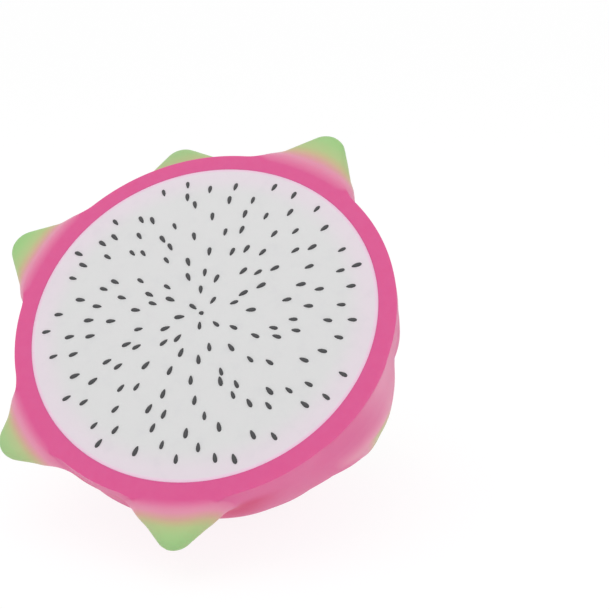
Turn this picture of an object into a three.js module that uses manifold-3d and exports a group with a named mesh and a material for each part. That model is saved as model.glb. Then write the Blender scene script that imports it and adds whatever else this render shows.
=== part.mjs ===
// Half of a white-fleshed dragon fruit, cut across its middle: the crown end, lying on its rind with the
// cut face tipped up towards -Y. Millimetres, +Z up, origin at the middle of the flat spot it rests on.
//
// The fruit is drawn in its own frame first: the cut is the plane z = 0, the flesh and rind lie below it,
// and the flower scar is on the axis at the bottom. Azimuths run round that axis from +X, and 90 degrees
// is the uphill side once the half is laid down.
import * as THREE from "three";
import { mergeVertices } from "three/addons/utils/BufferGeometryUtils.js";
import Module from "manifold-3d";

const degrees = Math.PI / 180;

// Driving dimensions
const fleshRadius = 43.5; // of the cut face's white disc
const rindThickness = 4.5; // where the cut crosses it
const halfDepth = 58; // from the cut to the flower end, half of a 116 mm fruit
const poleRind = 5.8; // rind thickness at the flower end
const restTilt = 45 * degrees; // of the cut face, from level
const flatSink = 0.6; // how far the rind is pressed flat where it rests
const seatGap = 0.3; // between rind and flesh
const seedCount = 156;
const seedLength = 2.45;
const seedWidth = 1.2;
const seedProud = 0.4; // height of a seed above the cut face
const seedSunk = 0.8;
const seedField = 0.9425 * fleshRadius; // the seeds' outer ring
const seedLimit = 0.915 * fleshRadius; // strays past this are drawn back
const seedCrowding = 0.56; // over 0.5 gathers more of them in the middle
const seedScatter = 0.085 * fleshRadius;
const scatterStart = 12; // nearer the middle than this they stray less
const seedWaver = 12 * degrees; // of each seed's heading off the radius
const goldenAngle = 2.399963;
const plasticNumber = 1.32471795724;

const cutRadius = fleshRadius + rindThickness;
const lidHeight = 10; // solids run this far past the cut before they are trimmed to it

// Swellings of the rind, as normal offsets: one under each scale, and the dished flower scar
const swellSpread = 13;
const scarDepth = 3.2;
const scarSpread = 6.5;
const scarLip = 1.2;
const scarLipRadius = 11;
const scarLipSpread = 4;

// Broader hollows and swellings between the scales, at an azimuth and a depth below the cut
const undulations = [
  { azimuth: 253, depth: 19, height: -2.2, spread: 11 },
  { azimuth: 292, depth: 17, height: 0.8, spread: 10 },
  { azimuth: 320, depth: 19, height: 1.2, spread: 8 },
  { azimuth: 340, depth: 19, height: 2.2, spread: 11 },
  { azimuth: 8, depth: 24, height: -0.6, spread: 9 },
];
const evenDepth = 9; // they fade out over this depth below the cut, so its outer edge stays a circle

// A scale's outline is a big circle at its root and a small one at its tip, joined by straight sides.
// Thicknesses are from its middle surface, and cup is how much the sides bend round the rind.
const rimShape = { rootRadius: 15.9, tipRadius: 5.2, rootThick: 6.6, tipThick: 1.7, cup: 0.003, swell: 0.2 };
const broadShape = { ...rimShape, rootRadius: 18.2, tipRadius: 6.4 };
const upperShape = { ...rimShape, rootRadius: 19, tipRadius: 6 };
const lowerShape = { ...rimShape, rootRadius: 16.2, tipRadius: 6.4 };
const flatShape = { rootRadius: 16.5, tipRadius: 6.4, rootThick: 4.6, tipThick: 1.5, cup: 0.012, swell: 0.6 };
const bodyShape = { rootRadius: 14.5, tipRadius: 4.5, rootThick: 6.2, tipThick: 1.5, cup: 0.012, swell: 1.9 };
const crownShape = { rootRadius: 9.5, tipRadius: 3.3, rootThick: 4.4, tipThick: 1.3, cup: 0.018, swell: 1.6 };

// Scales next to the cut. Depth is the root's distance below the cut, lean the angle between scale and
// rind, curl how much it bends outwards along its length, reach its length and sink how far the root is in.
const nearCut = [
  { azimuth: 67.4, depth: 4.2, lean: 95, curl: 2, reach: 17.5, sink: 9.7, shape: broadShape },
  { azimuth: 110.9, depth: 10, lean: 93, curl: 9, reach: 15.7, sink: 9.7, shape: upperShape },
  { azimuth: 161.6, depth: 4.2, lean: 95, curl: 2, reach: 16.8, sink: 9.7, shape: broadShape },
  { azimuth: 222.5, depth: 4.2, lean: 95, curl: 2, reach: 13.6, sink: 9.7, shape: lowerShape },
  { azimuth: 275.4, depth: 4.2, lean: 95, curl: 2, reach: 15, sink: 9.7, shape: rimShape },
  { azimuth: 335, depth: 7.5, lean: 16, curl: -8, reach: 13.1, sink: 4, shape: flatShape },
];

// The rows behind them, each set between the scales of the row before, and off the spot it rests on
const rows = [
  {
    azimuths: [24, 86, 137, 194, 251],
    ...{ depth: 22, reach: 24.9, sink: 6, lying: 12, standing: 48, shape: bodyShape },
  },
  {
    azimuths: [52, 109, 164, 210, 247, 355],
    ...{ depth: 38, reach: 23.4, sink: 6, lying: 14, standing: 50, shape: bodyShape },
  },
  {
    azimuths: [305],
    ...{ depth: 40, reach: 21, sink: 7.6, lying: 14, standing: 50, shape: bodyShape },
  },
  {
    azimuths: [22, 92, 164, 236, 312],
    ...{ depth: 51, reach: 20, sink: 4, lying: 32, standing: 64, shape: crownShape },
  },
];
const standingSide = 127 * degrees; // scales stand out most round here, and lie closest opposite
const lyingCurl = -20;
const standingCurl = 14;
const tipClearance = 0.5; // a scale over the table is pressed down until its tip clears it by this
const pressStep = 3;
const pressLimit = 16;

const wasm = await Module();
wasm.setup();

// A three.js geometry as a manifold-3d solid
function solid(geometry, matrix = new THREE.Matrix4()) {
  const plain = geometry.clone().deleteAttribute("normal").deleteAttribute("uv").applyMatrix4(matrix);
  const merged = mergeVertices(plain, 1e-3);
  const mesh = new wasm.Mesh({
    numProp: 3,
    vertProperties: merged.attributes.position.array,
    triVerts: new Uint32Array(merged.index.array),
  });
  return new wasm.Manifold(mesh);
}

// A manifold-3d solid as a three.js geometry, flat shaded
function geometryOf(made) {
  const mesh = made.getMesh();
  const geometry = new THREE.BufferGeometry();
  geometry.setAttribute("position", new THREE.BufferAttribute(new Float32Array(mesh.vertProperties), 3));
  geometry.setIndex(new THREE.BufferAttribute(new Uint32Array(mesh.triVerts), 1));
  const flat = geometry.toNonIndexed();
  flat.computeVertexNormals();
  return flat;
}

// Moves every vertex of a geometry by a function of its place
function reshape(geometry, move) {
  const places = geometry.attributes.position;
  const place = new THREE.Vector3();
  for (let i = 0; i < places.count; i++) {
    place.fromBufferAttribute(places, i);
    move(place);
    places.setXYZ(i, place.x, place.y, place.z);
  }
  return geometry;
}

// The plain rind surface and its frame: outward normal, tangent towards the flower end, and sideways
function rindFrame(azimuth, depth) {
  const fall = Math.asin(depth / halfDepth);
  const radius = cutRadius * Math.cos(fall);
  const around = new THREE.Vector3(Math.cos(azimuth), Math.sin(azimuth), 0);
  const down = new THREE.Vector3(0, 0, -1);
  const mix = (a, b) => around.clone().multiplyScalar(a).addScaledVector(down, b);
  return {
    place: mix(radius, depth),
    normal: mix(radius / cutRadius ** 2, depth / halfDepth ** 2).normalize(),
    onward: mix(-cutRadius * Math.sin(fall), halfDepth * Math.cos(fall)).normalize(),
    sideways: new THREE.Vector3(-Math.sin(azimuth), Math.cos(azimuth), 0),
  };
}

// Height above the table of a point given in the fruit's own frame
const restReach = Math.hypot(cutRadius * Math.sin(restTilt), halfDepth * Math.cos(restTilt));
const cutHeight = restReach - flatSink;
const heightOf = (p) => cutHeight + p.y * Math.sin(restTilt) + p.z * Math.cos(restTilt);

// A scale's spine is an arc. At a distance along it this gives the place, and the outer side's normal.
function spineAt(scale, along) {
  const { start, frame, lean, bend } = scale;
  const angle = lean + bend * along;
  const onward = (Math.sin(angle) - Math.sin(lean)) / bend;
  const outward = (Math.cos(lean) - Math.cos(angle)) / bend;
  const place = start.clone().addScaledVector(frame.onward, onward).addScaledVector(frame.normal, outward);
  const outer = frame.normal.clone().multiplyScalar(Math.cos(angle));
  return { place, outer: outer.addScaledVector(frame.onward, -Math.sin(angle)) };
}

// Places one scale, and presses it towards the rind where it would reach below the table
function placeScale({ azimuth, depth, lean, curl, reach, sink, shape }) {
  const frame = rindFrame(azimuth * degrees, depth);
  const start = frame.place.clone().addScaledVector(frame.normal, -sink);
  const length = reach + shape.tipRadius;
  const scale = { frame, start, reach, length, shape, lean: lean * degrees };
  for (let press = 0; press <= pressLimit; press++) {
    scale.lean = (lean - (press * pressStep) / 2) * degrees;
    scale.bend = ((curl - press * pressStep || 0.5) * degrees) / length;
    if (heightOf(spineAt(scale, length).place) > tipClearance) break;
  }
  return scale;
}

const scales = nearCut.map(placeScale);
for (const row of rows) {
  for (const azimuth of row.azimuths) {
    const stand = 0.5 + 0.5 * Math.cos(azimuth * degrees - standingSide);
    const lean = row.lying + (row.standing - row.lying) * stand;
    const curl = lyingCurl + (standingCurl - lyingCurl) * stand;
    scales.push(placeScale({ ...row, azimuth, lean, curl }));
  }
}

// Half the width of a scale's outline at a distance along its spine
function halfWidth({ reach, length, shape }, along) {
  const { rootRadius, tipRadius } = shape;
  const slope = (rootRadius - tipRadius) / reach;
  const lean = Math.sqrt(1 - slope * slope);
  if (along < rootRadius * slope) return Math.sqrt(rootRadius ** 2 - along ** 2);
  if (along > reach + tipRadius * slope) return Math.sqrt(Math.max(0, tipRadius ** 2 - (along - reach) ** 2));
  return (rootRadius - slope * along) / lean;
}

// One scale: a sphere drawn out along the spine into a cupped blade, thick at the root
const scaleRootEnd = 3; // how far the blade starts behind its root circle's middle
function scaleGeometry(scale) {
  const { length, shape, frame } = scale;
  return reshape(new THREE.SphereGeometry(1, 10, 9), (p) => {
    const along = -scaleRootEnd + ((length + scaleRootEnd) * (1 - p.y)) / 2;
    const ring = Math.hypot(p.x, p.z);
    const end = ring < 1e-6;
    const side = end ? 0 : (halfWidth(scale, Math.max(0, along)) * p.x) / ring;
    const share = Math.min(1, Math.max(0, along / length));
    const thick = shape.tipThick + (shape.rootThick - shape.tipThick) * (1 - share) ** 1.2;
    const rise = end ? 0 : (thick * p.z) / ring;
    const spine = spineAt(scale, along);
    p.copy(spine.place).addScaledVector(frame.sideways, side);
    p.addScaledVector(spine.outer, rise - shape.cup * side * side);
  });
}

const swellings = [
  ...scales.map(({ frame, shape }) => ({ centre: frame.place, height: shape.swell, spread: swellSpread })),
  ...undulations.map((one) => ({ ...one, centre: rindFrame(one.azimuth * degrees, one.depth).place })),
];

// How far the rind stands off the plain surface
function swell(place) {
  let height = 0;
  for (const { centre, height: rise, spread } of swellings) {
    height += rise * Math.exp(-place.distanceToSquared(centre) / spread ** 2);
  }
  height *= THREE.MathUtils.smoothstep(-place.z, 0, evenDepth);
  const across = Math.hypot(place.x, place.y);
  if (place.z < 0) {
    height -= scarDepth * Math.exp(-((across / scarSpread) ** 2));
    height += scarLip * Math.exp(-(((across - scarLipRadius) / scarLipSpread) ** 2));
  }
  return height;
}

// A closed solid of revolution about the fruit's axis: half an ellipsoid below the cut, a straight wall above
function bowlGeometry(radius, depth, lid, sides, steps) {
  const profile = [new THREE.Vector2(0, -depth)];
  for (let i = 1; i <= steps; i++) {
    const fall = (90 * degrees * (steps - i)) / steps;
    profile.push(new THREE.Vector2(radius * Math.cos(fall), -depth * Math.sin(fall)));
  }
  profile.push(new THREE.Vector2(radius, lid), new THREE.Vector2(0, lid));
  return new THREE.LatheGeometry(profile, sides).rotateX(90 * degrees);
}

// The rind's outer surface, with its swellings
function rindGeometry() {
  return reshape(bowlGeometry(cutRadius, halfDepth, lidHeight, 64, 20), (p) => {
    if (p.z > 0 && Math.hypot(p.x, p.y) < 1) return;
    const frame = rindFrame(Math.atan2(p.y, p.x), Math.min(halfDepth, Math.max(0, -p.z)));
    p.addScaledVector(frame.normal, swell(frame.place));
  });
}

// One seed, a low teardrop lying in the cut face with its point towards the middle of the fruit
function seedGeometry(index) {
  const central = index === 0;
  const across = central ? 0 : seedField * ((index + 0.3) / seedCount) ** seedCrowding;
  const stray = seedScatter * Math.min(1, across / scatterStart);
  const turn = index * goldenAngle;
  const x = across * Math.cos(turn) + stray * scatter(index, 1 / plasticNumber, 7.3);
  const y = across * Math.sin(turn) + stray * scatter(index, 1 / plasticNumber ** 2, 11.7);
  const squeeze = Math.min(1, seedLimit / Math.max(1, Math.hypot(x, y)));
  const heading = Math.atan2(y, x) + seedWaver * scatter(index, 0.618, 5.1);
  const seed = reshape(new THREE.SphereGeometry(1, 6, 4), (p) => {
    const share = (1 - p.y) / 2;
    const narrow = central ? 1 : 0.62 + 0.5 * (1 - share);
    const long = central ? seedWidth : seedLength;
    const deep = p.z > 0 ? seedProud : seedSunk;
    p.set((p.y * long) / 2, (-p.x * narrow * seedWidth) / 2, p.z * deep);
  });
  return seed.rotateZ(heading).translate(x * squeeze, y * squeeze, 0);
}

// Evenly spread numbers from -0.5 to 0.5
function scatter(index, step, stride) {
  const value = index * step * stride + 0.5;
  return value - Math.floor(value) - 0.5;
}

const box = (size, x, y, z) => solid(new THREE.BoxGeometry(size, size, size).translate(x, y, z));

// Everything above the cut, and everything below the table
const aboveCut = box(400, 0, 0, 200);
const belowTable = box(400, 0, 0, -200);

// From the fruit's frame to where it lies on the table
const lay = new THREE.Matrix4().makeTranslation(0, 0, cutHeight);
lay.multiply(new THREE.Matrix4().makeRotationX(restTilt));
const laid = (made) => solid(geometryOf(made), lay);

// Rind: body and scales grown as one, hollowed for the flesh
let outside = solid(rindGeometry());
for (const scale of scales) outside = outside.add(solid(scaleGeometry(scale)));
const hollow = solid(bowlGeometry(fleshRadius, halfDepth - poleRind, lidHeight, 64, 10));
const rind = laid(outside.subtract(aboveCut).subtract(hollow)).subtract(belowTable);

// Flesh: fills the hollow, with its seeds standing a little proud of the cut
const core = bowlGeometry(fleshRadius - seatGap, halfDepth - poleRind - seatGap, lidHeight, 64, 10);
let flesh = solid(core).subtract(aboveCut);
for (let i = 0; i < seedCount; i++) flesh = flesh.add(solid(seedGeometry(i)));

const reached = rind.boundingBox();
const middle = [0, 1].map((axis) => (reached.min[axis] + reached.max[axis]) / 2);

// A named part, moved so that the whole is centred over the origin
function part(name, made, color, roughness) {
  const material = new THREE.MeshStandardMaterial({ color, roughness, metalness: 0 });
  material.name = `${name}_skin`;
  const mesh = new THREE.Mesh(geometryOf(made).translate(-middle[0], -middle[1], 0), material);
  mesh.name = name;
  return mesh;
}

const dragonFruitHalf = new THREE.Group();
dragonFruitHalf.name = "dragon_fruit_half";
dragonFruitHalf.add(part("rind", rind, 0xdc6a9e, 0.5), part("flesh", laid(flesh), 0xdedbdf, 0.4));

export default dragonFruitHalf;
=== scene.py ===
import math
import bpy
import numpy as np
from mathutils import Matrix, Vector


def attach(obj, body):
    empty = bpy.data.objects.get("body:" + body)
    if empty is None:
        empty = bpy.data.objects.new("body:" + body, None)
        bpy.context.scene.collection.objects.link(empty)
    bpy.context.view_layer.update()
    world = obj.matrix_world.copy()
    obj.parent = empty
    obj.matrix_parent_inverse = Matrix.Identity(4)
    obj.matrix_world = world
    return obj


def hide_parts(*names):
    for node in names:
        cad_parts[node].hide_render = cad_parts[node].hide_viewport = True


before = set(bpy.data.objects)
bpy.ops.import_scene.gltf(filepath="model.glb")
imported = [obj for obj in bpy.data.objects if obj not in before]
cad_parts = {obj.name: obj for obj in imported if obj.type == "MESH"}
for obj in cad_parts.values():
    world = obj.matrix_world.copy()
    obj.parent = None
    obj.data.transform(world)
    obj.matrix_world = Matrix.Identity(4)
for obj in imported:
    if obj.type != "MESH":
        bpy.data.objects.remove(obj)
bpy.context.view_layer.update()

degrees = math.pi / 180
millimetre = 0.001


def linear(*levels):  # a colour from everyday levels of 0 to 255
    return tuple((v / 255 / 12.92) if v < 10.3 else ((v / 255 + 0.055) / 1.055) ** 2.4 for v in levels)


# The half fruit's own frame is in millimetres: the cut is z = 0, the flower end is below it on the axis
fruit = {
    "fleshRadius": 43.5,
    "cutRadius": 48.0,  # of the rind's outer edge at the cut
    "halfDepth": 58.0,
    "poleRind": 5.8,  # the rind's thickness at the flower end
    "seatGap": 0.3,  # between rind and flesh at the flower end
    "restTilt": 45.0,
    "flatSink": 0.6,  # how far the small flat spot is cut into the rind
    "shift": (5.2277, -15.2125),  # where the middle of the cut stands over the table
    "sharpAngle": 50.0,  # sharper edges aren't shaded smooth
}


def smoothStep(value, low, high):
    share = np.clip((value - low) / (high - low), 0, 1)
    return share * share * (3 - 2 * share)


def layDown():
    tilt = fruit["restTilt"] * degrees
    reach = math.hypot(fruit["cutRadius"] * math.sin(tilt), fruit["halfDepth"] * math.cos(tilt))
    place = (*fruit["shift"], reach - fruit["flatSink"])
    return Matrix.Translation(place) @ Matrix.Rotation(tilt, 4, "X")


layMatrix = layDown()  # millimetres in the fruit's frame to millimetres on the table
layTurn = np.array(layMatrix.to_3x3())
layPlace = np.array(layMatrix.translation)


def onTable(points):
    return (points @ layTurn.T + layPlace) * millimetre


def heightOf(points):
    return points @ layTurn[2] + layPlace[2]


def makeMesh(name, spots, faces, marks):
    mesh = bpy.data.meshes.new(name)
    mesh.from_pydata(spots.tolist(), [], faces)
    for mark, values in marks.items():
        layer = mesh.attributes.new(mark, "FLOAT", "POINT")
        layer.data.foreach_set("value", np.array(values, np.float32))
    mesh.validate()
    mesh.shade_smooth()
    mesh.set_sharp_from_angle(angle=fruit["sharpAngle"] * degrees)
    return mesh


class Wire:  # one socket of a node, that sums and products can be written on
    def __init__(self, kit, socket):
        self.kit = kit
        self.socket = socket

    def other(self, out):  # another output of the same node
        return Wire(self.kit, self.socket.node.outputs[out])

    def calc(self, operation, *others):
        return self.kit.node("ShaderNodeMath", {"operation": operation}, [self, *others])

    def calcFrom(self, operation, first):
        return self.kit.node("ShaderNodeMath", {"operation": operation}, [first, self])

    def __add__(self, other):
        return self.calc("ADD", other)

    def __radd__(self, other):
        return self.calc("ADD", other)

    def __sub__(self, other):
        return self.calc("SUBTRACT", other)

    def __rsub__(self, other):
        return self.calcFrom("SUBTRACT", other)

    def __mul__(self, other):
        return self.calc("MULTIPLY", other)

    def __rmul__(self, other):
        return self.calc("MULTIPLY", other)

    def __truediv__(self, other):
        return self.calc("DIVIDE", other)

    def __rtruediv__(self, other):
        return self.calcFrom("DIVIDE", other)


class NodeKit:  # makes the nodes of one tree
    def __init__(self, tree):
        self.tree = tree
        self.tree.nodes.clear()

    def node(self, kind, settings=None, inputs=(), out=0):
        made = self.tree.nodes.new(kind)
        for name, value in (settings or {}).items():
            if name == "stops":
                ramp = made.color_ramp
                while len(ramp.elements) < len(value):
                    ramp.elements.new(0.5)
                for stop, (place, colour) in zip(ramp.elements, value):
                    stop.position = place
                    stop.color = (*colour, 1)
            else:
                setattr(made, name, value)
        pairs = inputs.items() if isinstance(inputs, dict) else enumerate(inputs)
        for name, value in pairs:
            if isinstance(value, Wire):
                self.tree.links.new(value.socket, made.inputs[name])
            else:
                made.inputs[name].default_value = value
        return Wire(self, made.outputs[out]) if made.outputs else None

    def mixed(self, share, first, second):
        first, second = [one if isinstance(one, Wire) else (*one, 1) for one in (first, second)]
        return self.node("ShaderNodeMix", {"data_type": "RGBA"}, {0: share, 6: first, 7: second}, out=2)

    def band(self, value, low, high):  # 0 below low, 1 above high and soft between
        return self.node("ShaderNodeMapRange", {"interpolation_type": "SMOOTHSTEP"},
                         {"Value": value, "From Min": low, "From Max": high})

    def mark(self, name):
        return self.node("ShaderNodeAttribute", {"attribute_name": name}, out="Fac")

    def where(self):
        return self.node("ShaderNodeTexCoord", out="Object")

    def noise(self, where, scale, detail, rough):
        return self.node("ShaderNodeTexNoise", {}, {"Vector": where, "Scale": scale, "Detail": detail,
                                                    "Roughness": rough})


def newMaterial(name):
    material = bpy.data.materials.new(name)
    material.use_nodes = True
    print("material:", name)
    return material, NodeKit(material.node_tree)


def finishSurface(kit, look, colour, grain, height):
    roughness = look["roughness"] + (grain - 0.5) * look["roughSpread"]
    bump = kit.node("ShaderNodeBump", {}, {"Strength": look["bump"], "Distance": look["bumpDepth"],
                                           "Height": height})
    shader = kit.node("ShaderNodeBsdfPrincipled", {}, {
        "Base Color": colour, "Roughness": roughness, "Normal": bump, **look["shader"]})
    kit.node("ShaderNodeOutputMaterial", {}, {"Surface": shader})


rind = {
    # A scale's outline is a big circle at its root and a small one at its tip. Blend is how softly it joins
    # the rind. Its green starts greenBack from the tip, over the length of fade, and bow brings it on
    # sooner at its sides
    "kindFields": ("rootRadius", "tipRadius", "rootThick", "tipThick", "cup", "swell", "blend",
                   "greenBack", "fade", "bow", "stained"),
    "kinds": {
        "rim": (15.1, 5.2, 6.6, 2.0, 0.003, 0.2, 2.2, 6.8, 8.7, 0.012, False),
        "upperRim": (18.5, 6.0, 6.6, 2.0, 0.003, 0.2, 2.2, 7.5, 12.0, 0, False),
        "lowerRim": (15.5, 6.4, 6.6, 2.0, 0.003, 0.2, 2.2, 6.2, 9.0, 0.008, False),
        "leftRim": (17.5, 6.4, 6.6, 2.0, 0.003, 0.2, 2.2, 8.6, 12.0, 0, False),
        "rightRim": (17.5, 6.4, 6.6, 2.0, 0.003, 0.2, 2.2, 9.1, 14.5, 0.013, False),
        "hugging": (15.8, 6.4, 4.6, 1.6, 0.012, 0.6, 4.0, 9.0, 9.0, 0, True),
        "body": (14.5, 4.3, 6.2, 1.7, 0.012, 1.9, 9.0, 11.2, 15.5, 0, False),
        "crown": (9.5, 3.3, 4.4, 1.5, 0.018, 1.6, 7.0, 10.6, 14.5, 0, False),
    },
    # azimuth, depth below the cut, lean off the rind, curl along it, reach, how far the root is sunk, kind
    "nearCut": [
        (67.4, 4.2, 95, 2, 18.15, 9.7, "rightRim"),
        (161.6, 4.2, 95, 2, 17.15, 9.7, "leftRim"),
        (222.5, 4.2, 95, 2, 13.9, 9.7, "lowerRim"),
        (275.4, 4.2, 95, 2, 15.4, 9.7, "rim"),
        (110.9, 10.0, 93, 9, 15.7, 9.7, "upperRim"),
        (334.3, 7.5, 16, -8, 13.5, 4.0, "hugging"),
    ],
    # azimuths, depth, reach, sink, lean where they lie, lean where they stand, kind
    "rows": [
        ((24, 86, 137, 194, 251), 22, 24.5, 6, 12, 48, "body"),
        ((52, 109, 164, 210, 247, 355), 38, 23, 6, 14, 50, "body"),
        ((305,), 40, 21, 7.6, 14, 50, "body"),
        ((22, 92, 164, 236, 312), 51, 20, 4, 32, 64, "crown"),
    ],
    "standingSide": 127.0,  # the azimuth where the rows' scales stand out most
    "lyingCurl": -20.0,
    "standingCurl": 14.0,
    "thinning": 1.2,  # over 1 thins a scale sooner towards its tip
    "press": {"steps": 17, "lean": 1.5, "curl": 3, "leastCurl": 0.5, "clearance": 0.5},
    "swellSpread": 13.0,
    "evenDepth": 9.0,  # swellings fade out over this depth below the cut
    # azimuth, depth, height and spread of the rind's gentle waves
    "waves": [
        (239, 8, 0.5, 6),
        (256, 20, -2.4, 10),
        (292, 17, 0.8, 10),
        (320, 19, 1.2, 8),
        (339, 20, 2.2, 10),
        (6, 20, -1.1, 10),
    ],
    "scar": {"depth": 3.2, "spread": 6.5, "lip": 1.2, "lipRadius": 11.0, "lipSpread": 4.0, "below": (20, 40)},
    "innerBlend": 2.6,  # how softly a scale's inner side meets the rind, where it stands free
    "outerPart": (-3, 3),  # across a scale, from its inner side to its outer one
    "freePart": (-8, 8),  # along a scale, from its root to where it stands free
    "tipPart": 0.6,  # beyond this share of its length the blend shrinks
    "tipShrink": 0.6,
    "rimSoftness": 7.0,  # of the cut's edge where it runs out along a scale
    "rimSoftFrom": (0.4, 5.5),  # beyond the cut's circle
    "rimReach": 1.0,  # the sharp edge ends this far outside the cut's circle
    "inset": 0.1,  # the finished rind lies this far inside the plain one
    "grid": 0.8,  # the size of the cells that the surface is found in
    "gridStart": (-64.0, -64.0, -76.0),
    "gridSpan": (128, 128, 78),
    "evening": 0.6,  # how far a point moves to the middle of its neighbours in a turn
    "eveningTurns": 3,
    "settle": {"rounds": 3, "step": 0.05, "largest": 0.6, "leastSlope": 0.2},
    "rimSettle": {"rounds": 4, "leastSlope": 0.3, "flatSlope": 0.5},  # flatter than flatSlope isn't an edge
    # how the marks that the material reads are worked out. A pair is where one starts and where it is full
    "marks": {
        "plain": -0.6,  # the green mark where nothing is green, and where a tip is greenest
        "ripe": 1.1,
        "start": 0.28,  # the green mark at greenBack from the tip
        "curve": 0.01,  # how much sooner the green starts at a scale's sides
        "bowFrom": (-0.1, 0.35),  # green marks over which a kind's own bow sets in
        "ahead": (0.3, 0.7),  # how far the scale is in front of what lies round it
        "skinDepth": (-3.2, 0),
        "paintedShadeOuter": (0, 4),  # the painted shade is under a scale, near it, and away from its root
        "paintedShadeDepth": (-13, -1),
        "paintedShadeAlong": (0, 8),
        "cutHeight": (-0.3, -0.02),
        "cutDepth": (-0.4, 0.1),
        "flush": (345, 2.5, 8.5),  # azimuth, depth and spread of a painted highlight, a paler patch beside the cut
    },
    # the scale that lies close stays pale a long way back, and is hardly green but for one margin. Its long
    # pale part is partly the pale pink of a scale's root and partly a painted highlight where its swelling
    # catches the light
    "stain": {
        "outline": (-2, 5),  # inside its outline, and this near to its middle layer
        "layer": (-8, -5),
        "warmSide": (-4, 3),  # across it, the side where it is greenest
        "slopeSide": (2, 8),
        "slope": 0.55,  # how fast it turns pink, and how much slower beyond slopeSide
        "slopeLoss": 0.2,
        "pale": 0.1,  # the green mark of its pale part, and what its tip has more
        "greener": 0.34,
        "marginInside": (-9, -4),
        "marginOutside": (-1, 0.3),
        "marginAlong": (6, 12),
        "margin": 0.92,
    },
    "look": {
        "tips": [
            (0.09, linear(227, 104, 157)),
            (0.23, linear(233, 129, 169)),
            (0.37, linear(235, 153, 179)),
            (0.455, linear(223, 170, 159)),
            (0.53, linear(205, 192, 144)),
            (0.61, linear(184, 207, 140)),
            (0.75, linear(167, 211, 137)),
            (1.00, linear(152, 207, 131)),
        ],
        "tipsFrom": -0.4,  # the green mark at the ramp's start, and the span that the ramp covers
        "tipsSpan": 1.4,
        "tipsMottle": 0.08,
        # painted shade: a deeper magenta for the rind under and beside each scale, where the scale shades it
        "hollow": linear(214, 52, 108),
        "paintedShadeShare": 0.9,
        # painted highlight: a paler pink patch on the rind beside the cut
        "flush": linear(240, 160, 190),
        "paintedHighlightShare": 0.8,
        "bloom": linear(236, 150, 190),
        "bloomShare": 0.10,
        "bloomBand": (0.35, 0.7),
        "cut": linear(227, 85, 149),
        "cutLight": linear(230, 104, 160),
        "cutLightShare": 0.25,
        "cutLightBand": (0.3, 0.7),
        "cutGreen": (-0.3, 0.07),  # the cut's own colour gives way to a scale's over these values of the mark
        "mottle": (45, 3, 0.55),  # scale, detail and roughness of each noise
        "fine": (420, 3, 0.6),
        "pores": (1500, 2, 0.5),
        "poreShare": 0.4,
        "roughness": 0.5,
        "roughSpread": 0.16,
        "bump": 0.12,
        "bumpDepth": 0.0004,
        "shader": {
            "Specular IOR Level": 0.35,
            "Subsurface Weight": 0.15,
            "Subsurface Radius": (1.0, 0.35, 0.4),
            "Subsurface Scale": 0.002,
            "Sheen Weight": 0.12,
            "Sheen Roughness": 0.4,
        },
    },
}


def rindFrame(azimuth, depth):
    fall = math.asin(depth / fruit["halfDepth"])
    radius = fruit["cutRadius"] * math.cos(fall)
    around = np.array([math.cos(azimuth), math.sin(azimuth), 0.0])
    down = np.array([0.0, 0.0, -1.0])

    def mixed(a, b):
        return around * a + down * b

    normal = mixed(radius / fruit["cutRadius"] ** 2, depth / fruit["halfDepth"] ** 2)
    onward = mixed(-fruit["cutRadius"] * math.sin(fall), fruit["halfDepth"] * math.cos(fall))
    return {
        "place": mixed(radius, depth),
        "normal": normal / np.linalg.norm(normal),
        "onward": onward / np.linalg.norm(onward),
        "sideways": np.array([-math.sin(azimuth), math.cos(azimuth), 0.0]),
    }


def placeScale(azimuth, depth, lean, curl, reach, sink, kindName):
    kind = dict(zip(rind["kindFields"], rind["kinds"][kindName]))
    press = rind["press"]
    own = rindFrame(azimuth * degrees, depth)
    start = own["place"] - own["normal"] * sink
    length = reach + kind["tipRadius"]
    for step in range(press["steps"]):  # pressed towards the rind until its tip clears the table
        tilt = (lean - step * press["lean"]) * degrees
        bend = ((curl - step * press["curl"]) or press["leastCurl"]) * degrees / length
        angle = tilt + bend * length
        tip = start + own["onward"] * (math.sin(angle) - math.sin(tilt)) / bend
        tip = tip + own["normal"] * (math.cos(tilt) - math.cos(angle)) / bend
        if heightOf(tip) > press["clearance"]:
            break
    return {"own": own, "start": start, "tip": tip, "lean": tilt, "bend": bend, "reach": reach,
            "length": length, **kind}


def allScales():
    made = [placeScale(*one) for one in rind["nearCut"]]
    for azimuths, depth, reach, sink, lying, standing, kind in rind["rows"]:
        for azimuth in azimuths:
            stand = 0.5 + 0.5 * math.cos((azimuth - rind["standingSide"]) * degrees)
            lean = lying + (standing - lying) * stand
            curl = rind["lyingCurl"] + (rind["standingCurl"] - rind["lyingCurl"]) * stand
            made.append(placeScale(azimuth, depth, lean, curl, reach, sink, kind))
    return made


scales = allScales()
swellings = [(scale["own"]["place"], scale["swell"], rind["swellSpread"]) for scale in scales]
for azimuth, depth, height, spread in rind["waves"]:
    swellings.append((rindFrame(azimuth * degrees, depth)["place"], height, spread))
print("scales:", len(scales))


def swell(points):
    height = np.zeros(len(points))
    for centre, rise, spread in swellings:
        height += rise * np.exp(-((points - centre) ** 2).sum(1) / spread ** 2)
    height *= smoothStep(-points[:, 2], 0, rind["evenDepth"])  # the cut's outer edge stays a circle
    scar = rind["scar"]
    across = np.hypot(points[:, 0], points[:, 1])
    low = smoothStep(-points[:, 2], *scar["below"])
    height -= low * scar["depth"] * np.exp(-(across / scar["spread"]) ** 2)
    height += low * scar["lip"] * np.exp(-((across - scar["lipRadius"]) / scar["lipSpread"]) ** 2)
    return height


def eggDistance(points, radius, depth):
    sizes = np.array([radius, radius, depth])
    near = np.linalg.norm(points / sizes, axis=1) + 1e-9
    return near * (near - 1) / (np.linalg.norm(points / sizes ** 2, axis=1) + 1e-9), near


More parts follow.
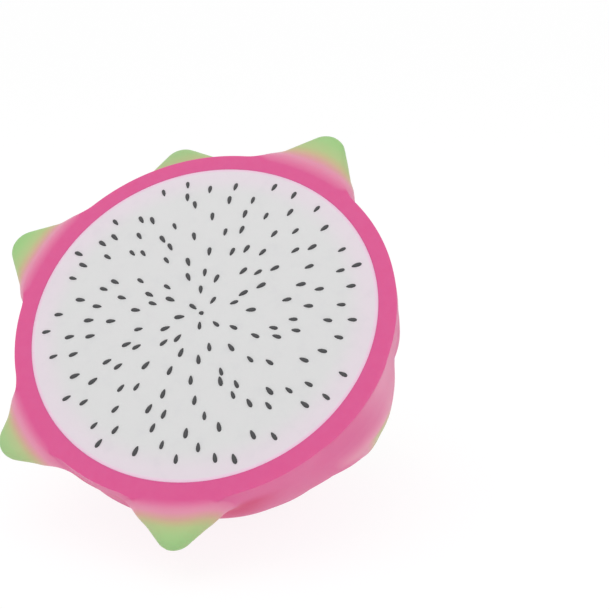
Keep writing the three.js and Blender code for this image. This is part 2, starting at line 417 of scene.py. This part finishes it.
def bodyDistance(points):
    lowered = points.copy()
    lowered[:, 2] = np.minimum(lowered[:, 2], 0)
    distance, near = eggDistance(lowered, fruit["cutRadius"], fruit["halfDepth"])
    return distance - swell(lowered / near[:, None]) + rind["inset"]


def scaleDistance(points, scale):
    own = scale["own"]
    moved = points - scale["start"]
    onward, outward, side = moved @ own["onward"], moved @ own["normal"], moved @ own["sideways"]
    lean, bend = scale["lean"], scale["bend"]
    ahead = onward + math.sin(lean) / bend  # from the middle of the spine's arc
    above = outward - math.cos(lean) / bend
    turn = np.arctan2(-np.sign(bend) * above, -np.sign(bend) * ahead) - math.pi / 2 - lean
    along = ((turn + math.pi) % (2 * math.pi) - math.pi) / bend
    outer = 1 / bend - np.sign(bend) * np.hypot(ahead, above) + scale["cup"] * side ** 2
    # the outline has straight sides between its two circles
    slope = (scale["rootRadius"] - scale["tipRadius"]) / scale["reach"]
    level = math.sqrt(1 - slope * slope)
    wide = np.abs(side)
    cross = along * level - wide * slope
    outline = wide * level + along * slope - scale["rootRadius"]
    outline = np.where(cross < 0, np.hypot(wide, along) - scale["rootRadius"], outline)
    beyond = np.hypot(wide, along - scale["reach"]) - scale["tipRadius"]
    outline = np.where(cross > level * scale["reach"], beyond, outline)
    share = np.clip(along / scale["length"], 0, 1)
    thick = scale["tipThick"] + (scale["rootThick"] - scale["tipThick"]) * (1 - share) ** rind["thinning"]
    distance = np.hypot(np.maximum(outline + thick, 0), outer) - thick
    return {"distance": distance, "outer": outer, "along": along, "side": side, "outline": outline}


def blendSoftness(scale, at):
    grown = smoothStep(at["outer"], *rind["outerPart"]) * smoothStep(at["along"], *rind["freePart"])
    soft = rind["innerBlend"] + (scale["blend"] - rind["innerBlend"]) * grown
    nearTip = smoothStep(at["along"], rind["tipPart"] * scale["length"], scale["length"])
    return soft * (1 - rind["tipShrink"] * nearTip)


def greenOf(scale, at, on):
    rule, stain = rind["marks"], rind["stain"]
    side, outline = at["side"], at["outline"]
    reached = at["along"] + side ** 2 * rule["curve"] - scale["length"] + scale["greenBack"]
    green = reached / scale["fade"] + rule["start"]
    green += smoothStep(green, *rule["bowFrom"]) * side ** 2 * scale["bow"] / scale["fade"]
    # the close scale's long pale part is partly its root's pale pink and partly a painted highlight
    if scale["stained"]:
        warm = smoothStep(side, *stain["warmSide"])
        back = stain["slope"] - stain["slopeLoss"] * smoothStep(side, *stain["slopeSide"])
        pale, greenest = stain["pale"], stain["pale"] + stain["greener"] * warm
        green = np.where(green < pale, pale + (green - pale) * back, np.minimum(green, greenest))
    green = (np.clip(green, rule["plain"], rule["ripe"]) - rule["plain"]) * on + rule["plain"]
    if scale["stained"]:
        margin = smoothStep(outline, *stain["marginInside"]) * smoothStep(-outline, *stain["marginOutside"])
        margin = margin * smoothStep(at["along"], *stain["marginAlong"])
        green = np.maximum(green, stain["margin"] * margin * warm + rule["plain"])
    return green


def markScale(marks, near, scale, at, ahead):  # ahead is over a half where the scale is outermost
    rule, stain = rind["marks"], rind["stain"]
    on = smoothStep(ahead, *rule["ahead"]) * smoothStep(-at["distance"], *rule["skinDepth"])
    if scale["stained"]:  # its colour shows on the rind over it too
        over = smoothStep(-at["outline"], *stain["outline"])
        on = np.maximum(on, over * smoothStep(-np.abs(at["outer"]), *stain["layer"]))
    # painted shade on the rind under and near the scale
    under = smoothStep(-at["outer"], *rule["paintedShadeOuter"]) * smoothStep(-at["distance"], *rule["paintedShadeDepth"])
    under = under * smoothStep(at["along"], *rule["paintedShadeAlong"])
    for name, values in (("green", greenOf(scale, at, on)), ("hollow", under * (1 - on)), ("on", on)):
        marks[name][near] = np.maximum(marks[name][near], values)


def outsideDistance(points, marks=None):
    result = bodyDistance(points)
    for scale in scales:
        middle = (scale["start"] + scale["tip"]) / 2
        reach = scale["length"] / 2 + scale["rootRadius"] + scale["blend"]
        near = np.flatnonzero(((points - middle) ** 2).sum(1) < reach ** 2)
        if not len(near):
            continue
        at = scaleDistance(points[near], scale)
        distance, soft = at["distance"], blendSoftness(scale, at)
        if marks is not None:
            markScale(marks, near, scale, at, 0.5 + 0.5 * (result[near] - distance) / soft)
        gap = np.maximum(soft - np.abs(result[near] - distance), 0) / soft
        result[near] = np.minimum(result[near], distance) - gap * gap * soft / 4
    return result


def rindFields(points):
    return {
        "outside": outsideDistance(points),
        "cut": points[:, 2],
        "cup": -eggDistance(points, fruit["fleshRadius"], fruit["halfDepth"] - fruit["poleRind"])[0],
        "table": -heightOf(points),
    }


def rimSoft(points):
    across = np.hypot(points[:, 0], points[:, 1])
    low, high = rind["rimSoftFrom"]
    grown = smoothStep(across - fruit["cutRadius"], low, high)
    return 1e-3 + rind["rimSoftness"] * grown


def joined(points, fields):
    soft = rimSoft(points)
    gap = np.maximum(soft - np.abs(fields["outside"] - fields["cut"]), 0) / soft
    trimmed = np.maximum(fields["outside"], fields["cut"]) + gap * gap * soft / 4
    return np.maximum(np.maximum(trimmed, fields["cup"]), fields["table"])


def rindDistance(points):
    return joined(points, rindFields(points))


def slopeOf(points, distanceOf, here, axes):
    step = rind["settle"]["step"]
    return np.stack([distanceOf(points + one) - here for one in np.eye(3)[:axes] * step], 1) / step


def stepTo(here, slope, leastSlope):
    largest = rind["settle"]["largest"]
    move = here[:, None] * slope / np.maximum((slope ** 2).sum(1), leastSlope)[:, None]
    return np.clip(move, -largest, largest)


def settle(points):  # onto the surface, by Newton steps
    for _ in range(rind["settle"]["rounds"]):
        here = rindDistance(points)
        points = points - stepTo(here, slopeOf(points, rindDistance, here, 3), rind["settle"]["leastSlope"])
    return points


def levelSlope(points):
    return slopeOf(points, outsideDistance, outsideDistance(points), 2)


def settleRim(points):  # the cut's outer edge is kept as sharp as it is along each scale
    for _ in range(rind["rimSettle"]["rounds"]):
        drop = rimSoft(points) / 4
        points[:, 2] = -drop
        here = outsideDistance(points) + drop
        points[:, :2] -= stepTo(here, levelSlope(points), rind["rimSettle"]["leastSlope"])
    return points


def mixedCells(signs):  # the grid's cells with corners on both sides of a surface
    total = 0
    for at in np.ndindex(2, 2, 2):
        total = total + signs[tuple(slice(a, n - 1 + a) for a, n in zip(at, signs.shape))].astype(int)
    return (total > 0) & (total < 8)


def cellPoints(values, cells):  # in each cell, the middle of where its edges cross the surface
    places = np.zeros((len(cells), 3))
    hits = np.zeros(len(cells))
    for axis in range(3):
        step = np.eye(3, dtype=int)[axis]
        others = [i for i in range(3) if i != axis]
        for corner in np.ndindex(2, 2):
            at = np.zeros(3, int)
            at[others] = corner
            one, two = values[tuple((cells + at).T)], values[tuple((cells + at + step).T)]
            crossed = (one < 0) != (two < 0)
            share = np.where(crossed, one / np.where(crossed, one - two, 1), 0)
            places += crossed[:, None] * (at + share[:, None] * step)
            hits += crossed
    return cells + places / hits[:, None]


def cellFaces(signs, index):  # a face round each grid edge that crosses the surface
    quads = []
    for axis in range(3):
        others = [i for i in range(3) if i != axis]
        span = [slice(1, n - 1) for n in signs.shape]
        span[axis] = slice(0, signs.shape[axis] - 1)
        first = signs[tuple(span)]
        span[axis] = slice(1, signs.shape[axis])
        edges = np.argwhere(first != signs[tuple(span)])
        inside = first[tuple(edges.T)]
        edges[:, others] += 1
        ring = []
        for back in ((0, 0), (1, 0), (1, 1), (0, 1)):
            cell = edges.copy()
            cell[:, others] -= back
            ring.append(index[tuple(cell.T)])
        ring = np.stack(ring, 1)
        flip = inside if axis != 1 else ~inside
        ring[flip] = ring[flip][:, ::-1]
        quads.append(ring)
    return np.concatenate(quads)


def surfaceNet():
    size = rind["grid"]
    counts = np.array([int(span / size) + 1 for span in rind["gridSpan"]])
    lines = [low + size * np.arange(count) for low, count in zip(rind["gridStart"], counts)]
    lines[2] = lines[2] - lines[2][np.argmin(np.abs(lines[2]))] + size / 2  # the cut runs mid-cell
    grid = np.stack(np.meshgrid(*lines, indexing="ij"), -1).reshape(-1, 3)
    fields = rindFields(grid)
    values = joined(grid, fields).reshape(counts)
    active = mixedCells(values < 0)
    index = -np.ones(active.shape, int)
    index[active] = np.arange(active.sum())
    places = cellPoints(values, np.argwhere(active)) * size + [line[0] for line in lines]
    meets = {name: mixedCells(fields[name].reshape(counts) < 0)[active] for name in ("outside", "cut", "cup")}
    across = np.hypot(places[:, 0], places[:, 1])
    rimEdge = meets["outside"] & meets["cut"] & (across < fruit["cutRadius"] + rind["rimReach"])
    cupEdge = meets["cup"] & meets["cut"] & ~rimEdge
    return places, cellFaces(values < 0, index), rimEdge, cupEdge


def evenOut(places, quads, free):  # free points are spread evenly and put back on the surface
    edges = np.concatenate([quads[:, [i, (i + 1) % 4]] for i in range(4)])
    degree = np.bincount(edges.ravel(), minlength=len(places)).astype(float)
    for turn in range(rind["eveningTurns"]):
        if turn:
            total = np.zeros_like(places)
            np.add.at(total, edges[:, 0], places[edges[:, 1]])
            np.add.at(total, edges[:, 1], places[edges[:, 0]])
            evened = total / degree[:, None]
            places[free] = places[free] * (1 - rind["evening"]) + evened[free] * rind["evening"]
        places[free] = settle(places[free])


def rindMarks(places):
    rule = rind["marks"]
    count = len(places)
    marks = {"green": np.full(count, rule["plain"]), "hollow": np.zeros(count), "on": np.zeros(count)}
    outside = outsideDistance(places, marks)
    # no painted shade where a scale's own surface shows
    marks["hollow"] *= 1 - marks.pop("on")
    marks["cut"] = smoothStep(places[:, 2], *rule["cutHeight"]) * smoothStep(-outside, *rule["cutDepth"])
    # painted highlight beside the cut, as a soft round patch
    azimuth, depth, spread = rule["flush"]
    centre = rindFrame(azimuth * degrees, depth)["place"]
    marks["flush"] = np.exp(-((places - centre) ** 2).sum(1) / spread ** 2)
    return marks


def buildRind():
    places, quads, rimEdge, cupEdge = surfaceNet()
    # where a scale's top passes through the cut there is no edge to keep
    flat = (levelSlope(places[rimEdge]) ** 2).sum(1) < rind["rimSettle"]["flatSlope"]
    rimEdge[np.flatnonzero(rimEdge)[flat]] = False
    evenOut(places, quads, ~(rimEdge | cupEdge))
    places[rimEdge] = settleRim(places[rimEdge])
    across = np.hypot(places[cupEdge, 0], places[cupEdge, 1])
    places[cupEdge, :2] *= (fruit["fleshRadius"] / across)[:, None]
    places[cupEdge, 2] = 0
    spots = onTable(places)
    spots[:, 2] = np.maximum(spots[:, 2], 0)
    print("rind:", len(places), "points,", len(quads), "faces")
    return makeMesh("rindSkin", spots, quads.tolist(), rindMarks(places))


def makeRindMaterial():
    look = rind["look"]
    material, kit = newMaterial("pinkRindSkin")
    where = kit.where()
    mottle, fine, pores = [kit.noise(where, *look[name]) for name in ("mottle", "fine", "pores")]
    green = (kit.mark("green") - look["tipsFrom"]) / look["tipsSpan"] + (mottle - 0.5) * look["tipsMottle"]
    skin = kit.node("ShaderNodeValToRGB", {"stops": look["tips"]}, [green])
    # painted shade under and beside the scales
    skin = kit.mixed(kit.mark("hollow") * look["paintedShadeShare"], skin, look["hollow"])
    # painted highlight: a paler patch beside the cut
    skin = kit.mixed(kit.mark("flush") * look["paintedHighlightShare"], skin, look["flush"])
    skin = kit.mixed(kit.band(mottle, *look["bloomBand"]) * look["bloomShare"], skin, look["bloom"])
    light = kit.band(fine, *look["cutLightBand"]) * look["cutLightShare"]
    cutColour = kit.mixed(light, look["cut"], look["cutLight"])
    cutPart = kit.mark("cut") * (1 - kit.band(kit.mark("green"), *look["cutGreen"]))
    colour = kit.mixed(cutPart, skin, cutColour)
    finishSurface(kit, look, colour, fine, fine * (1 - look["poreShare"]) + pores * look["poreShare"])
    return material


flesh = {
    "edgeGap": 0.02,  # the finished flesh meets the rind without a visible gap
    "edgeDrop": 0.05,
    "sides": 180,
    "faceRings": (0.03, 0.96, 40),  # shares of the radius, from, to and how many
    "edgeRings": (0.968, 0.976, 0.982, 0.987, 0.991, 0.995),  # closer together, for the thin painted highlight line at the edge
    "bowlRings": (2, 90, 40),  # degrees below the cut, from, to and how many
    "look": {
        "white": linear(226, 226, 226),
        "edge": linear(234, 223, 231),
        "edgeBand": (0.8, 0.965),  # shares of the radius, as the next one
        # painted highlight: a thin bright line round the flesh's edge
        "line": linear(248, 208, 232),
        "edgeHighlightBand": (0.976, 0.996),
        "waver": 0.03,
        "speck": linear(205, 205, 212),
        "speckShare": 0.12,
        "speckBand": (0.5, 0.75),
        "grain": (260, 4, 0.6),
        "cloud": (60, 2, 0.5),
        "roughness": 0.42,
        "roughSpread": 0.25,
        "bump": 0.15,
        "bumpDepth": 0.0003,
        "shader": {
            "Specular IOR Level": 0.4,
            "Subsurface Weight": 0.2,
            "Subsurface Radius": (1.0, 0.9, 0.95),
            "Subsurface Scale": 0.0015,
        },
    },
}


def fleshRings(radius, depth):  # the radius and height of each ring, from the cut's middle to the flower end
    shares = [*np.linspace(*flesh["faceRings"]), *flesh["edgeRings"]]
    falls = np.linspace(*flesh["bowlRings"])[:-1] * degrees
    face = [(share * radius, 0.0) for share in shares]
    bowl = [(radius * math.cos(fall), -depth * math.sin(fall)) for fall in falls]
    return [*face, (radius, -flesh["edgeDrop"]), *bowl]


def buildFlesh():
    radius = fruit["fleshRadius"] - flesh["edgeGap"]
    depth = fruit["halfDepth"] - fruit["poleRind"] - fruit["seatGap"]
    rings = fleshRings(radius, depth)
    sides = flesh["sides"]
    points, across = [(0.0, 0.0, 0.0)], [0.0]
    for ring, height in rings:
        for i in range(sides):
            turn = 2 * math.pi * i / sides
            points.append((ring * math.cos(turn), ring * math.sin(turn), height))
            across.append(ring / radius)
    points.append((0.0, 0.0, -depth))
    across.append(0.0)
    last = len(points) - 1
    faces = [(0, 1 + i, 1 + (i + 1) % sides) for i in range(sides)]
    for start in range(1, last - sides, sides):
        for i in range(sides):
            j = (i + 1) % sides
            faces.append((start + i, start + sides + i, start + sides + j, start + j))
    faces += [(last - sides + (i + 1) % sides, last - sides + i, last) for i in range(sides)]
    print("flesh:", len(faces), "faces")
    return makeMesh("flesh", onTable(np.array(points)), faces, {"across": across})


def makeFleshMaterial():
    look = flesh["look"]
    material, kit = newMaterial("whiteFruitFlesh")
    where = kit.where()
    grain, cloud = kit.noise(where, *look["grain"]), kit.noise(where, *look["cloud"])
    across = kit.mark("across")
    wavering = across + (cloud - 0.5) * look["waver"]
    colour = kit.mixed(kit.band(wavering, *look["edgeBand"]), look["white"], look["edge"])
    # a painted highlight line round the flesh's edge
    colour = kit.mixed(kit.band(across, *look["edgeHighlightBand"]), colour, look["line"])
    colour = kit.mixed(kit.band(grain, *look["speckBand"]) * look["speckShare"], colour, look["speck"])
    finishSurface(kit, look, colour, grain, grain)
    return material


seeds = {
    # the seed tree's own inputs, in millimetres
    "inputs": {
        "Seed Count": 156,
        "Field Radius": 0.9425 * fruit["fleshRadius"],
        "Crowding": 0.56,  # over 0.5 gathers more of them in the middle
        "Scatter": 0.085 * fruit["fleshRadius"],
        "Scatter Start": 12.0,
        "Outer Limit": 0.915 * fruit["fleshRadius"],
        "Length": 2.45,
        "Width": 1.2,
        "Proud": 0.36,
        "Waver": 12 * degrees,
        "Seed": 7,
    },
    "turnStep": 2.399963,  # the golden angle, from one seed to the next
    "ringStart": 0.3,
    "evenStep": 1 / 1.32471795724,  # multiples of it and its square fill a plane evenly
    "waverStep": 0.618,
    "strides": {"x": 7.3, "y": 11.7, "waver": 5.1},  # only the fraction of the product counts
    "segments": 10,
    "rings": 7,
    "pointed": (0.62, 0.25),  # width at the end that looks to the middle, and what half the length adds
    "smallest": 0.9,
    "largest": 1.1,
    "middleLength": 0.5,  # of the round one in the middle, as a share
    "look": {
        "coat": linear(66, 66, 68),
        "coatLight": linear(88, 88, 90),
        "lightShare": 0.5,
        "grain": (2400, 2, 0.5),
        "roughness": 0.45,
        "roughSpread": 0.2,
        "bump": 0.2,
        "bumpDepth": 0.0001,
        "shader": {"Specular IOR Level": 0.4},
    },
}


def seedTree(material):
    tree = bpy.data.node_groups.new("seedScatter", "GeometryNodeTree")
    for name, value in seeds["inputs"].items():
        kind = "NodeSocketInt" if isinstance(value, int) else "NodeSocketFloat"
        tree.interface.new_socket(name, in_out="INPUT", socket_type=kind).default_value = value
    tree.interface.new_socket("Geometry", in_out="OUTPUT", socket_type="NodeSocketGeometry")
    kit = NodeKit(tree)
    given = kit.node("NodeGroupInput").other
    index = kit.node("GeometryNodeInputIndex")

    def spread(step, stride):  # evenly spread numbers from -0.5 to 0.5
        share = (index * (step * seeds["strides"][stride]) + 0.5).calc("FRACT")
        return share - 0.5

    # places on a spiral, and where each seed heads
    notMiddle = index.calc("MINIMUM", 1)  # 0 for the round one in the middle
    outward = ((index + seeds["ringStart"]) / given("Seed Count")).calc("POWER", given("Crowding"))
    across = notMiddle * given("Field Radius") * outward
    stray = notMiddle * given("Scatter") * (across / given("Scatter Start")).calc("MINIMUM", 1)
    turn = index * seeds["turnStep"]
    x = across * turn.calc("COSINE") + stray * spread(seeds["evenStep"], "x")
    y = across * turn.calc("SINE") + stray * spread(seeds["evenStep"] ** 2, "y")
    squeeze = (given("Outer Limit") / (x * x + y * y + 1).calc("SQRT")).calc("MINIMUM", 1)
    place = kit.node("ShaderNodeCombineXYZ", {}, [x * squeeze, y * squeeze, 0])
    heading = y.calc("ARCTAN2", x) + given("Waver") * spread(seeds["waverStep"], "waver")
    points = kit.node("GeometryNodePoints", {}, {"Count": given("Seed Count"), "Position": place})

    # one seed, from a ball with its poles at its ends
    ball = kit.node("GeometryNodeMeshUVSphere", {}, {
        "Segments": seeds["segments"], "Rings": seeds["rings"], "Radius": 1.0})
    ball = kit.node("GeometryNodeTransform", {}, {"Geometry": ball, "Rotation": (0, math.pi / 2, 0)})
    own = kit.node("ShaderNodeSeparateXYZ", {}, [kit.node("GeometryNodeInputPosition")])
    pointed, wider = seeds["pointed"]
    narrow = pointed + wider * (own + 1)
    shaped = kit.node("ShaderNodeCombineXYZ", {}, [
        own * given("Length") * 0.5,
        own.other(1) * narrow * given("Width") * 0.5,
        own.other(2) * given("Proud"),
    ])
    ball = kit.node("GeometryNodeSetPosition", {}, {"Geometry": ball, "Position": shaped})

    turned = kit.node("ShaderNodeCombineXYZ", {}, [0, 0, heading])
    size = kit.node("FunctionNodeRandomValue", {"data_type": "FLOAT"}, {
        2: seeds["smallest"], 3: seeds["largest"], "Seed": given("Seed")}, out=1)
    longer = size * (seeds["middleLength"] + (1 - seeds["middleLength"]) * notMiddle)
    size = kit.node("ShaderNodeCombineXYZ", {}, [longer, size, size])
    placed = kit.node("GeometryNodeInstanceOnPoints", {}, {
        "Points": points, "Instance": ball, "Rotation": turned, "Scale": size})
    real = kit.node("GeometryNodeRealizeInstances", {}, [placed])
    smooth = kit.node("GeometryNodeSetShadeSmooth", {}, {"Geometry": real})
    done = kit.node("GeometryNodeSetMaterial", {}, {"Geometry": smooth, "Material": material})
    kit.node("NodeGroupOutput", {}, [done])
    return tree


def buildSeeds(material):
    holder = bpy.data.objects.new("seedHolder", bpy.data.meshes.new("seedHolder"))
    bpy.context.scene.collection.objects.link(holder)
    modifier = holder.modifiers.new("scatter", "NODES")
    modifier.node_group = seedTree(material)
    for item in modifier.node_group.interface.items_tree:
        if item.in_out == "INPUT":
            modifier[item.identifier] = seeds["inputs"][item.name]
    graph = bpy.context.evaluated_depsgraph_get()
    mesh = bpy.data.meshes.new_from_object(holder.evaluated_get(graph))
    holder.modifiers.remove(modifier)
    bpy.data.objects.remove(holder)
    mesh.transform(Matrix.Scale(millimetre, 4) @ layMatrix)
    print("seeds:", len(mesh.polygons), "faces")
    return mesh


def makeSeedMaterial():
    look = seeds["look"]
    material, kit = newMaterial("darkSeedCoat")
    grain = kit.noise(kit.where(), *look["grain"])
    colour = kit.mixed(grain * look["lightShare"], look["coat"], look["coatLight"])
    finishSurface(kit, look, colour, grain, grain)
    return material


def addPiece(name, mesh, material, node):
    piece = bpy.data.objects.new(name, mesh)
    bpy.context.scene.collection.objects.link(piece)
    if material.name not in mesh.materials:
        mesh.materials.append(material)
    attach(piece, "root")
    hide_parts(node)
    print("piece:", name)


addPiece("rindSkin", buildRind(), makeRindMaterial(), "rind")
addPiece("fleshCut", buildFlesh(), makeFleshMaterial(), "flesh")
seedMaterial = makeSeedMaterial()
addPiece("seedGrains", buildSeeds(seedMaterial), seedMaterial, "flesh")


# The floor runs up into a wall behind, through a wide bend. Its sizes are in metres
stage = {
    "wide": 4.0,
    "front": -2.5,
    "back": 3.0,
    "high": 4.0,
    "bend": 2.0,
    "bendSteps": 24,
    "floor": linear(200, 200, 200),
    "floorLight": linear(196, 196, 197),
    "lightShare": 0.3,
    "tone": (8, 2, 0.5),
    "shader": {"Roughness": 0.9, "Specular IOR Level": 0.1, "Emission Color": (1, 1, 1, 1),
               "Emission Strength": 0.42},
    "floorWhite": 1.06,  # the camera sees a whiter floor than the fruit does
    "whiteShare": 0.7,
}


def makeStage():
    material, kit = newMaterial("paleFloor")
    tone = kit.noise(kit.where(), *stage["tone"])
    colour = kit.mixed(tone * stage["lightShare"], stage["floor"], stage["floorLight"])
    matte = kit.node("ShaderNodeBsdfPrincipled", {}, {"Base Color": colour, **stage["shader"]})
    white = kit.node("ShaderNodeEmission", {}, {"Strength": stage["floorWhite"]})
    seen = kit.node("ShaderNodeLightPath")
    shader = kit.node("ShaderNodeMixShader", {}, [seen * stage["whiteShare"], matte, white])
    kit.node("ShaderNodeOutputMaterial", {}, {"Surface": shader})
    wide, bend, start = stage["wide"], stage["bend"], stage["back"] - stage["bend"]
    profile = [(stage["front"], 0.0), (start, 0.0)]
    for i in range(1, stage["bendSteps"] + 1):
        turn = i / stage["bendSteps"] * math.pi / 2
        profile.append((start + bend * math.sin(turn), bend - bend * math.cos(turn)))
    profile.append((stage["back"], stage["high"]))
    points = [(x, y, z) for y, z in profile for x in (-wide, wide)]
    faces = [(2 * i, 2 * i + 1, 2 * i + 3, 2 * i + 2) for i in range(len(profile) - 1)]
    mesh = bpy.data.meshes.new("floor")
    mesh.from_pydata(points, [], faces)
    mesh.shade_smooth()
    mesh.materials.append(material)
    floor = bpy.data.objects.new("floor", mesh)
    bpy.context.scene.collection.objects.link(floor)
    print("floor: done")


lights = {
    "world": 0.68,
    "aim": (0, 0, 0.04),
    # name, place, size and power
    "lamps": [
        ("topLight", (-0.15, -0.25, 0.75), 0.7, 1.5),
        ("sideLight", (0.6, -0.35, 0.35), 0.6, 0.3),
    ],
}


def makeLights():
    world = bpy.data.worlds.new("softRoom")
    world.use_nodes = True
    kit = NodeKit(world.node_tree)
    seen = kit.node("ShaderNodeLightPath")  # seen as white, while the fruit gets less light from it
    strength = lights["world"] + seen * (1 - lights["world"])
    glow = kit.node("ShaderNodeBackground", {}, {"Color": (1, 1, 1, 1), "Strength": strength})
    kit.node("ShaderNodeOutputWorld", {}, {"Surface": glow})
    bpy.context.scene.world = world
    for name, place, size, power in lights["lamps"]:
        light = bpy.data.lights.new(name, "AREA")
        light.size = size
        light.energy = power
        lamp = bpy.data.objects.new(name, light)
        lamp.location = place
        lamp.rotation_mode = "QUATERNION"
        lamp.rotation_quaternion = (Vector(place) - Vector(lights["aim"])).to_track_quat("Z", "Y")
        bpy.context.scene.collection.objects.link(lamp)
    print("lights:", len(lights["lamps"]))


view = {
    "lens": 62.07,
    "sensor": 36,
    # the middle of the cut and the cut's own axes, in the camera's axes and in flesh radii
    "cutPlace": (-0.58048, -0.04817, -5.90178),
    "cutNormal": (-0.17456, 0.49270, 0.85251),
    "cutRight": (0.87923, 0.46776, -0.09030),
    "rightTurn": 36.7,  # from cutRight to the fruit's own x
}


def unit(vector):
    return vector / np.linalg.norm(vector)


def makeCamera():
    normal = unit(np.array(view["cutNormal"]))
    right = np.array(view["cutRight"])
    turn = view["rightTurn"] * degrees
    right = right * math.cos(turn) - np.cross(normal, right) * math.sin(turn)
    right = unit(right - normal * (right @ normal))
    seen = np.stack([right, np.cross(normal, right), normal], 1)
    turned = layTurn @ seen.T  # the camera's axes on the table
    radius = fruit["fleshRadius"] * millimetre
    matrix = Matrix(turned.tolist()).to_4x4()
    matrix.translation = (layPlace * millimetre - turned @ (np.array(view["cutPlace"]) * radius)).tolist()
    data = bpy.data.cameras.new("camera")
    data.lens = view["lens"]
    data.sensor_width = view["sensor"]
    camera = bpy.data.objects.new("camera", data)
    camera.matrix_world = matrix
    bpy.context.scene.collection.objects.link(camera)
    bpy.context.scene.camera = camera
    print("camera: done")


makeStage()
makeLights()
makeCamera()
bpy.context.scene.view_settings.view_transform = "Standard"
